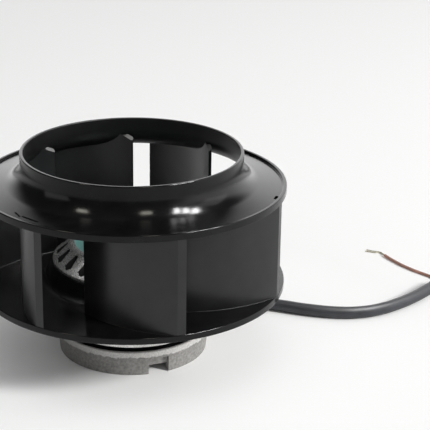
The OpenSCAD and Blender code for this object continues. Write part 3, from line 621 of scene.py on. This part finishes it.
draw = random.Random(5)
for colour, route in core_routes.items():
    core = wire(f"core_{colour}_outer", [route], core_r)
    finished(core, "base", [f"core_{colour}"], surfaces[f"core_{colour}_pvc"])
    ends = strand_routes[colour]
    wires = []
    for k in range(strands_per_core):
        turn = math.tau * k / strands_per_core
        spread_out = draw.uniform(0.5, 1.0)
        bundle = []
        for step, (x, y, z) in enumerate(ends):
            fan = strand_bundle_r + strand_fan * spread_out * (step / (len(ends) - 1)) ** 2
            a = turn + strand_twist * step
            height = max(strand_wire_r, z + fan * math.sin(a + 1))
            bundle.append((x + fan * math.cos(a), y + fan * math.sin(a), height))
        wires.append(bundle)
    strands = wire(f"strands_{colour}_fine", wires, strand_wire_r)
    strands.data.bevel_resolution = 2
    finished(strands, "base", [f"strands_{colour}"], surfaces["strand_copper"])


# Inlet shroud

def cone_z(r, depth=0.0):
    """Height of the shroud's cone at a radius, or of a surface parallel to it at a depth below."""
    return lip_foot_z + (lip_r - r) * cone_rise - depth / cone_cos


collar_in_r = collar_r - shroud_t
rim_in_r = lip_r - shroud_t
sweep_x = collar_r + sweep_r
sweep_z = cone_z(sweep_x) + sweep_r / cone_cos


def shroud_face(r, depth=0.0):
    """Height of the shroud's upper face at a radius, or of a surface at a depth below it."""
    bend = sweep_r + depth
    if r > sweep_x - bend * cone_rise * cone_cos:
        return cone_z(r, depth)
    return sweep_z - math.sqrt(max(0, bend ** 2 - (sweep_x - r) ** 2))


shroud_outline = rounded([
    (collar_in_r, collar_top_z, 0.7), (collar_r, collar_top_z, 0.7),
    (collar_r, cone_z(collar_r), sweep_r),
    (lip_r, cone_z(lip_r), 0.5), (lip_r, rim_top_z, 0.4), (wheel_r, rim_top_z, 0.6),
    (wheel_r, rim_bottom_z, 0.4), (rim_in_r, rim_bottom_z, 0.3), (rim_in_r, cone_z(rim_in_r, shroud_t), 0.3),
    (collar_in_r, cone_z(collar_in_r, shroud_t), sweep_r + shroud_t),
], step=6)
shroud = build("inlet_shroud_moulded", [lathe(shroud_outline)])


# Blades, as arcs about a centre at a distance from the axis

arc_r = (wheel_r ** 2 - blade_in_r ** 2) / (
    2 * (wheel_r * math.cos(outlet_angle) - blade_in_r * math.cos(inlet_angle)))
arc_d = math.sqrt(wheel_r ** 2 + arc_r ** 2 - 2 * wheel_r * arc_r * math.cos(outlet_angle))
trail_turn = math.acos((wheel_r ** 2 + arc_d ** 2 - arc_r ** 2) / (2 * wheel_r * arc_d))


def arc_angle(radius, circle):
    """Angle about the arc's centre at which an arc of that radius meets a circle round the axis."""
    return -math.acos((circle ** 2 - arc_d ** 2 - radius ** 2) / (2 * arc_d * radius))


def on_arc(radius, angle):
    """Point of an arc about the blade's centre."""
    return Vector((arc_d + radius * math.cos(angle), radius * math.sin(angle)))


def arc_side(radius, first, last, steps):
    """Points along an arc between two angles."""
    return [on_arc(radius, first + (last - first) * k / steps) for k in range(steps + 1)]


def place_blade(solid, i):
    """Turns a blade's own frame to the place of blade i, counted from 0."""
    return facing(solid, blade_phase + math.degrees(trail_turn) + i * blade_step)


def blade_outline():
    """Plan of a blade, symmetric in its order: point k lies across from the point k from the end."""
    middle = arc_r - blade_t / 2
    lead = arc_angle(arc_r, blade_in_r)
    nose = on_arc(middle, lead)
    outward = (nose - Vector((arc_d, 0))).normalized()
    ahead = Vector((outward.y, -outward.x))
    nose_parts = 8
    tip = []
    for k in range(nose_parts):
        a = math.radians(90 * (nose_parts - k - 0.5) / nose_parts)
        tip.append((math.cos(a), math.sin(a)))
    outer_nose = [nose + blade_t / 2 * (outward * c + ahead * s) for c, s in tip]
    inner_nose = [nose + blade_t / 2 * (-outward * c + ahead * s) for c, s in reversed(tip)]
    side_parts = 44
    outer = arc_side(arc_r, lead, arc_angle(arc_r, wheel_r), side_parts)
    inner = arc_side(arc_r - blade_t, lead, arc_angle(arc_r - blade_t, wheel_r), side_parts)
    return outer_nose + outer + inner[::-1] + inner_nose


def blade_top(r):
    """Height of a blade's upper edge, which slopes at its nose and then runs into the shroud."""
    roof = rim_bottom_z if r > rim_in_r else shroud_face(r, shroud_t)
    return min(nose_z + (r - blade_in_r) * nose_slope, roof + blade_sink)


def blade_body():
    """Blade between the back plate and the shroud, with a fillet at its foot."""
    outline = blade_outline()
    count = len(outline)
    normals = []
    for k in range(count):
        along = (outline[(k + 1) % count] - outline[k - 1]).normalized()
        normals.append(Vector((along.y, -along.x)))
    area = sum(a.x * b.y - b.x * a.y for a, b in zip(outline, outline[1:] + outline[:1]))
    side = 1 if area > 0 else -1
    bends = [math.radians(a) for a in fillet_angles]
    levels = [(foot_fillet * (1 - math.cos(a)), foot_fillet * (1 - math.sin(a))) for a in bends]
    points = []
    for lift, swell in levels:
        for here, normal in zip(outline, normals):
            out = here + normal * swell * side
            out *= min(1, (wheel_r - blade_inset) / out.length)
            points.append((out.x, out.y, plate_z + lift))
    wall_steps = 10
    for step in range(wall_steps + 1):
        for here in outline:
            rise = blade_top(here.length) - plate_z - foot_fillet
            points.append((here.x, here.y, plate_z + foot_fillet + rise * step / wall_steps))
    rows = len(levels) + wall_steps + 1
    faces = []
    for row in range(rows - 1):
        for k in range(count):
            j = (k + 1) % count
            faces.append((row * count + k, row * count + j, (row + 1) * count + j, (row + 1) * count + k))
    top = (rows - 1) * count
    for k in range(count // 2 - 1):
        faces.append((k, k + 1, count - 2 - k, count - 1 - k))
        faces.append((top + k, top + k + 1, top + count - 2 - k, top + count - 1 - k))
    return points, faces


def stadium(x, length, width):
    """Plan of a slot with round ends, lying across the X axis."""
    parts = 8
    radius = width / 2
    reach = length / 2 - radius
    outline = []
    for end, start in ((1, 0), (-1, 180)):
        for k in range(parts + 1):
            a = math.radians(start + 180 * k / parts)
            outline.append((x + radius * math.cos(a), end * reach + radius * math.sin(a)))
    return outline


def groove(first, last, width, depth):
    """Cut along the shroud's cone between two places, each a direction from the front and a radius."""
    steps = 8
    points, faces = [], []
    for k in range(steps + 1):
        turn, r = (a + (b - a) * k / steps for a, b in zip(first, last))
        a = math.radians(turn - 90)
        inner, outer = r - width / 2, r + width / 2
        for radius, lift in ((inner, -depth), (outer, -depth), (outer, cut_past), (inner, cut_past)):
            points.append((radius * math.cos(a), radius * math.sin(a), cone_z(r) + lift))
    for k in range(4 * steps):
        side = k - k % 4 + (k + 1) % 4
        faces.append((k, side, side + 4, k + 4))
    faces += [(3, 2, 1, 0), tuple(range(4 * steps, 4 * steps + 4))]
    return points, faces


lip_slot = prism(stadium(lip_slot_r, lip_slot_l, lip_slot_w), rim_bottom_z - cut_past, rim_top_z + cut_past)
combine(shroud, [facing(lip_slot, blade_phase + lip_slot_turn + i * blade_step) for i in range(blade_count)])
mark_strokes = (((-51, 87.0), (-46.4, 89.0)), ((-46, 87.8), (-37.5, 88.2)))
for first, last in mark_strokes:
    combine(shroud, [groove(first, last, width=1.2, depth=0.6)])
merge_slivers(shroud)
smooth(shroud)
finished(shroud, "rotor", ["inlet_shroud"], surfaces["wheel_plastic"])

# The shroud's underside and bore are dull, and so are the blades' fillets; the top faces at the blades' noses
# are painted pale as a painted reflection
shroud.data.materials.append(inside_surface)
level_face = 0.3
bore_r = collar_in_r + 0.5
for face in shroud.data.polygons:
    inward = face.normal.x * face.center.x + face.normal.y * face.center.y < 0
    if face.normal.z < -level_face or inward and face.center.xy.length < bore_r * MM:
        face.material_index = 1
for i in range(blade_count):
    blade = build(f"blade_{i + 1}_moulded", [place_blade(blade_body(), i)])
    smooth(blade, angle=18)
    finished(blade, "rotor", [f"blade_{i + 1}"], blade_surface)
    blade.data.materials.append(painted_reflection_surface)
    blade.data.materials.append(inside_surface)
    # Painted reflection: upward faces near each blade's nose take a pale grey material.
    for face in blade.data.polygons:
        if face.normal.z > level_face and face.center.z > (nose_z - painted_reflection_drop) * MM:
            face.material_index = 1
        elif face.center.z < (plate_z + foot_fillet) * MM:
            face.material_index = 2


# Back plate

plate_outline = rounded([
    (hub_bore_r, plate_z - plate_t, 0.3), (wheel_r - plate_rim_w, plate_z - plate_t, 0.4),
    (wheel_r - plate_rim_w, plate_foot_z, 0.4), (wheel_r, plate_foot_z, 0.5), (wheel_r, plate_z, 0.5),
    (hub_foot_r, plate_z, hub_fillet), (hub_top_r, hub_top_z, 0.8), (hub_bore_r, hub_top_z, 0.3),
], step=9)
plate = build("back_plate_moulded", [lathe(plate_outline)])
smooth(plate)
finished(plate, "rotor", ["back_plate"], surfaces["wheel_plastic"])


# Rotor

spigot_r = 5.8
shaft_bore_r = 4.02
_, shaft_top_z = heights("shaft")
boss_r = 9.0
boss_gap = 1.5
boss_z = tube_top_z + boss_gap
taper_h = 6.0
taper_depth = 0.5
wall = rotor_r - rotor_in_r
cup_outline = rounded([
    (0, rotor_top_z, 0), (rotor_top_r, rotor_top_z, 1.2), (rotor_lip_r, rotor_lip_z, 0.7),
    (rotor_lip_r, hub_top_z, 0.4), (rotor_r, hub_top_z, 0.2), (rotor_r, rotor_rim_z + taper_h, 0),
    (rotor_r - taper_depth, rotor_rim_z, 0.5), (rotor_in_r, rotor_rim_z, 0.3),
    (rotor_in_r, rotor_lip_z - wall * math.sqrt(2), 0), (rotor_top_r - wall / 2, rotor_ceiling_z, 0),
    (boss_r, rotor_ceiling_z, 1.5), (boss_r, boss_z, 0.3), (spigot_r, boss_z, 0),
    (spigot_r, upper_seat[1], 0.2), (shaft_bore_r, upper_seat[1], 0), (shaft_bore_r, shaft_top_z, 0),
    (0, shaft_top_z, 0),
], step=15)
cup = build("rotor_cup_cast", [lathe(cup_outline, segments=176)])

slot_margin = 1.4
slot_narrow_r = 1.8
slot_wide_r = 3.0
slot_narrow_x = rotor_top_r + slot_margin + slot_narrow_r
slot_wide_x = rotor_lip_r - slot_margin - slot_wide_r
slot_open_x = 47.1
slot_depth = 9.0


def half_round(x, radius, start):
    """Half circle about a point of the X axis, from a start angle in degrees."""
    parts = 10
    turns = [math.radians(start + 180 * k / parts) for k in range(parts + 1)]
    return [(x + radius * math.cos(a), radius * math.sin(a)) for a in turns]


# A cooling slot widens outwards; it opens into the rotor, with a narrow sill on the lip at its outer end
narrow_end = half_round(slot_narrow_x, slot_narrow_r, 90)
slot_outline = half_round(slot_wide_x, slot_wide_r, -90) + narrow_end
slot_cut = prism(slot_outline, rotor_lip_z, rotor_top_z + 2 * cut_past)
open_share = (slot_open_x - slot_narrow_x) / (slot_wide_x - slot_narrow_x)
open_half = slot_narrow_r + (slot_wide_r - slot_narrow_r) * open_share
open_cut = prism([(slot_open_x, -open_half), (slot_open_x, open_half)] + narrow_end,
                 rotor_lip_z - slot_depth, rotor_top_z + cut_past)
for slot_solid in (slot_cut, open_cut):
    combine(cup, [turned(slot_solid, i * 360 / rotor_slots) for i in range(rotor_slots)])
merge_slivers(cup)
smooth(cup)
finished(cup, "rotor", ["rotor_cup"], surfaces["rotor_casting"])

# Painted shade: faces inside the cup below its slots, under a thin skin, get a near-black material
cup.data.materials.append(painted_shade_surface)
shoulder_rise = (rotor_top_z - rotor_lip_z) / (rotor_lip_r - rotor_top_r)
painted_shade_r = slot_open_x + 0.2
painted_shade_z = rotor_lip_z - slot_depth - 0.1
skin = 0.5
for face in cup.data.polygons:
    r = face.center.xy.length / MM
    z = face.center.z / MM
    skin_z = min(rotor_top_z, rotor_lip_z + (rotor_lip_r - r) * shoulder_rise)
    if painted_shade_z < z < skin_z - skin and r < painted_shade_r:
        face.material_index = 1

label_low, label_high = heights("rotor_label")
label_outline = rounded([
    (0, label_low, 0), (label_r, label_low, 0), (label_r, label_high, 0.12), (0, label_high, 0),
])
label = build("rotor_label_film", [lathe(label_outline)])
smooth(label)
finished(label, "rotor", ["rotor_label"], surfaces["label_film"])


# Motor flange

flange_outline = rounded([
    (skirt_in_r, 0, 0.5), (base_r, 0, 0.6), (band_r, band_z, 0.8), (flange_r, flange_z, 0.9),
    (recess_out_r, flange_z, 0.3), (recess_out_r, recess_z, 0.5), (recess_in_r, recess_z, 0.5),
    (recess_in_r, flange_z, 0.3), (tube_shoulder_r, flange_z, 1.5), (tube_shoulder_r, tube_seat_z, 0.3),
    (tube_r, tube_seat_z, 0), (tube_r, tube_top_z, 0.4), (bearing_seat_r, tube_top_z, 0.3),
    (bearing_seat_r, washer_z, 0), (bearing_stop_r, washer_z, 0), (bearing_stop_r, lower_seat[1], 0),
    (bearing_seat_r, lower_seat[1], 0), (bearing_seat_r, tube_foot_z, 0.3), (tube_r, tube_foot_z, 0.4),
    (tube_r, ceiling_z, 1.2), (skirt_in_r, ceiling_z, 1.2),
], step=15)
flange = build("motor_flange_cast", [lathe(flange_outline, segments=180)])

# The bosses stand halfway between the notches, each with a rib to the skirt
# Solids that meet differ by small steps, here and in the cuts, so that no two faces lie in one plane
boss_root = 1.0
rib_root = 1.5
boss = disc(screw_boss_r, 0.05, ceiling_z + boss_root, screw_ring_r)
rib = block((screw_ring_r, -boss_rib_w / 2, 0.1),
            (skirt_in_r + rib_root, boss_rib_w / 2, ceiling_z + boss_root - 0.1))
screw_hole = disc(screw_hole_r, -cut_past, screw_hole_depth, screw_ring_r, sides=24)
cuts = []
for notch_direction in notch_directions:
    boss_direction = notch_direction + 60
    for solid in (boss, rib):
        combine(flange, [facing(solid, boss_direction)], "UNION")
    cuts.append(facing(screw_hole, boss_direction))


def along_cable(solid):
    """Turns a solid drawn along Z to the cable's axis."""
    lying = Matrix.Translation((0, 0, cable_z)) @ Matrix.Rotation(math.radians(90), 4, "Y")
    return facing(moved(solid, lying), cable_dir)


# Two notches open into the skirt at their foot, and the bush fills the third
bush_hole_r = bush_neck_r + bush_gap
bush_recess_r = bush_collar_r + bush_gap
far = 60.0
half_open = notch_w / 2 - 0.01
notch = block((notch_floor, -notch_w / 2, -cut_past), (far, notch_w / 2, notch_h))
opening = block((skirt_in_r - 0.5, -half_open, -cut_past - 0.1), (far + 1, half_open, notch_open_h))
bush_way = block((skirt_in_r - 0.45, -bush_hole_r, -cut_past - 0.2),
                 (notch_floor + 0.45, bush_hole_r, cable_z))
for direction in notch_directions:
    cuts.append(facing(notch, direction))
    if direction != cable_dir:
        cuts.append(facing(opening, direction))
cuts.append(along_cable(disc(bush_hole_r, skirt_in_r - 0.5, notch_floor + 0.5)))
cuts.append(facing(bush_way, cable_dir))
cuts.append(along_cable(disc(bush_recess_r, notch_floor + 0.02, far - 1)))
lead_hole_r = 4.0
lead_hole = beside_cable(25)
earth_hole_r = 2.02
earth_hole = beside_cable(26.5, 14)
cuts.append(disc(lead_hole_r, ceiling_z - cut_past, flange_z + cut_past, lead_hole[0], lead_hole[1]))
cuts.append(disc(earth_hole_r, ceiling_z - cut_past - 0.1, flange_z - 0.5, earth_hole[0], earth_hole[1]))
for cut in cuts:
    combine(flange, [cut])
merge_slivers(flange)
smooth(flange)
finished(flange, "base", ["motor_flange"], surfaces["flange_casting"])


# Cable bush with soft ribs

bush_bore_r = sheath_r + bush_gap
bush_end_r = 4.6
bush_collar_w = 2.8
bush_cone_w = 0.95
inner_face = skirt_in_r - 0.98
outer_face = notch_floor + bush_gap
cone_start = outer_face + bush_collar_w
bush_outline = [
    (bush_bore_r, bush_inner, 0.2), (bush_collar_r, bush_inner, 0.4), (bush_collar_r, inner_face, 0.2),
    (bush_neck_r, inner_face, 0), (bush_neck_r, outer_face, 0), (bush_collar_r, outer_face, 0.2),
    (bush_collar_r, cone_start, 0.6), (bush_neck_r, cone_start + bush_cone_w, 0.3),
]
rib_count = 4
rib_start = 49.5
rib_r = 5.1
rib_taper = 0.4
rib_depth = 0.5
rib_round = 0.15
rib_step = (bush_end - rib_start - 1) / rib_count
for k in range(rib_count):
    out = rib_start + k * rib_step
    top = rib_r - rib_taper * k / rib_count
    for r, share in ((top, 0), (top - rib_depth, 0.35), (top - rib_depth, 0.65), (top - 0.06, 0.95)):
        bush_outline.append((r, out + share * rib_step, rib_round))
bush_outline += [(bush_end_r, bush_end, 0.2), (bush_bore_r, bush_end, 0.1)]
bush = build("cable_bush_ribbed", [along_cable(lathe(rounded(bush_outline, step=20), segments=64))])
smooth(bush)
finished(bush, "base", ["cable_bush"], surfaces["bush_rubber"])


# Floor

def floor_surface():
    """Pale matt paper, with painted light making it palest round the object, and painted shade making it a
    little greyer in front, out of the camera's view.
    """
    painted_light_paper = (0.98, 0.98, 0.97)
    far_paper = (0.90, 0.90, 0.89)
    painted_shade_paper = (0.70, 0.70, 0.69)
    surface = paint("floor_paper", far_paper, 0.9, specular=0.0)
    _, y, _ = along_axes(surface)
    # Painted light brightens the paper round the object; painted shade greys it towards the front.
    outer = spread(surface, from_axis(surface), 0, 1, start=0.11, end=0.20)
    paper = blend(surface, outer, painted_light_paper, far_paper)
    back = spread(surface, y, 0, 1, start=-0.5, end=-0.15)
    put(surface, "Base Color", blend(surface, back, painted_shade_paper, paper))
    grain(surface, spots(surface, size=1.5, detail=3), depth=0.01)
    return surface


floor_half = 9000.0
floor_top = -0.05
floor_t = 20.0
floor = build("floor", [block((-floor_half, -floor_half, -floor_t), (floor_half, floor_half, floor_top))])
floor.data.materials.append(floor_surface())


# Light

def lamp(name, place, target, width, height, radiance, glossy=True, along=(0, 0, 1)):
    """Soft rectangular lamp at a place in metres, facing a target, with its height in the plane of along.

    Radiance 1 is about as bright as white paper.
    """
    light = bpy.data.lights.new(name, "AREA")
    light.shape = "RECTANGLE"
    light.size = width
    light.size_y = height
    light.energy = radiance * math.pi * width * height
    body = show(name, light)
    back = (Vector(place) - Vector(target)).normalized()
    across = Vector(along).cross(back).normalized()
    facing_target = Matrix((across, back.cross(across), back)).transposed().to_4x4()
    body.matrix_world = Matrix.Translation(place) @ facing_target
    body.visible_glossy = glossy
    body.visible_camera = False
    return body


middle = Vector((0, 0, 0.11))


def strip(name, first, last, width, radiance):
    """Ceiling lamp between two places, which shows in reflections only."""
    start, end = Vector(first), Vector(last)
    made = lamp(name, (start + end) / 2, middle, width, (end - start).length, radiance, along=end - start)
    made.visible_diffuse = False
    return made


bar_width = 0.11
bar_radiance = 72.0
strip("ceiling_bar_1", (0.86, -0.72, 1.23), (0.62, -0.12, 1.55), bar_width, bar_radiance)
strip("ceiling_bar_2", (0.94, -0.48, 1.28), (0.66, 0.13, 1.53), bar_width, bar_radiance)
strip("ceiling_bar_3", (0.97, -0.16, 1.34), (0.62, 0.44, 1.48), bar_width, bar_radiance)
dull_width = 0.2
dull_radiance = 14.0
for dull_lamp in (
    strip("ceiling_left", (-0.90, -0.50, 1.31), (-0.74, -0.15, 1.50), dull_width, dull_radiance),
    strip("ceiling_front", (0.28, -0.95, 1.35), (0.23, -0.53, 1.58), dull_width, dull_radiance),
):
    dull_lamp.data.color = (1, 0.97, 0.84)
window_left = lamp("window_left", (-1.7, -0.35, 0.42), middle, width=0.9, height=0.6, radiance=1.1)
window_left.visible_diffuse = False
lamp("window_right", (1.7, 0.1, 1.3), middle, width=1.0, height=0.9, radiance=1.7)
lamp("key", (3.47, -1.77, 2.25), (0, 0, 0), width=0.9, height=0.9, radiance=75.0, glossy=False)

world = bpy.data.worlds.new("room")
world.use_nodes = True
scene.world = world
background = world.node_tree.nodes["Background"]
links = world.node_tree.links
dark_room = (0.08, 0.08, 0.082, 1)
bright_windows = (2.05, 2.05, 2.05, 1)
light_around = (0.52, 0.52, 0.525, 1)


def room(kind, operation=None):
    """New node of the world."""
    made = world.node_tree.nodes.new(kind)
    if operation:
        made.operation = operation
    return made


def ramp(value, start, end):
    """Soft step of a value from 0 at start to 1 at end."""
    step = room("ShaderNodeMapRange")
    step.interpolation_type = "SMOOTHSTEP"
    step.inputs["From Min"].default_value = start
    step.inputs["From Max"].default_value = end
    links.new(value, step.inputs["Value"])
    return step.outputs[0]


# A bright band of windows from the back to the right in an otherwise dark room, for rays that see the room
direction = room("ShaderNodeTexCoord").outputs["Generated"]
towards = room("ShaderNodeVectorMath", "DOT_PRODUCT")
towards.inputs[1].default_value = (0.75, 0.66, 0)
links.new(direction, towards.inputs[0])
split = room("ShaderNodeSeparateXYZ")
links.new(direction, split.inputs[0])
band = room("ShaderNodeMath", "MULTIPLY")
links.new(ramp(towards.outputs["Value"], -0.15, 0.5), band.inputs[0])
links.new(ramp(split.outputs[2], 0.62, 0.38), band.inputs[1])
windows = room("ShaderNodeMix")
windows.data_type = "RGBA"
windows.inputs[6].default_value = dark_room
windows.inputs[7].default_value = bright_windows
links.new(band.outputs[0], windows.inputs[0])
path = room("ShaderNodeLightPath")
seen = room("ShaderNodeMath", "MAXIMUM")
links.new(path.outputs["Is Camera Ray"], seen.inputs[0])
links.new(path.outputs["Is Glossy Ray"], seen.inputs[1])
seen_or_through = room("ShaderNodeMath", "MAXIMUM")
links.new(seen.outputs[0], seen_or_through.inputs[0])
links.new(path.outputs["Is Transmission Ray"], seen_or_through.inputs[1])
shade = room("ShaderNodeMix")
shade.data_type = "RGBA"
shade.inputs[6].default_value = light_around
links.new(seen_or_through.outputs[0], shade.inputs[0])
links.new(windows.outputs[2], shade.inputs[7])
links.new(shade.outputs[2], background.inputs["Color"])
scene.view_settings.view_transform = "Standard"
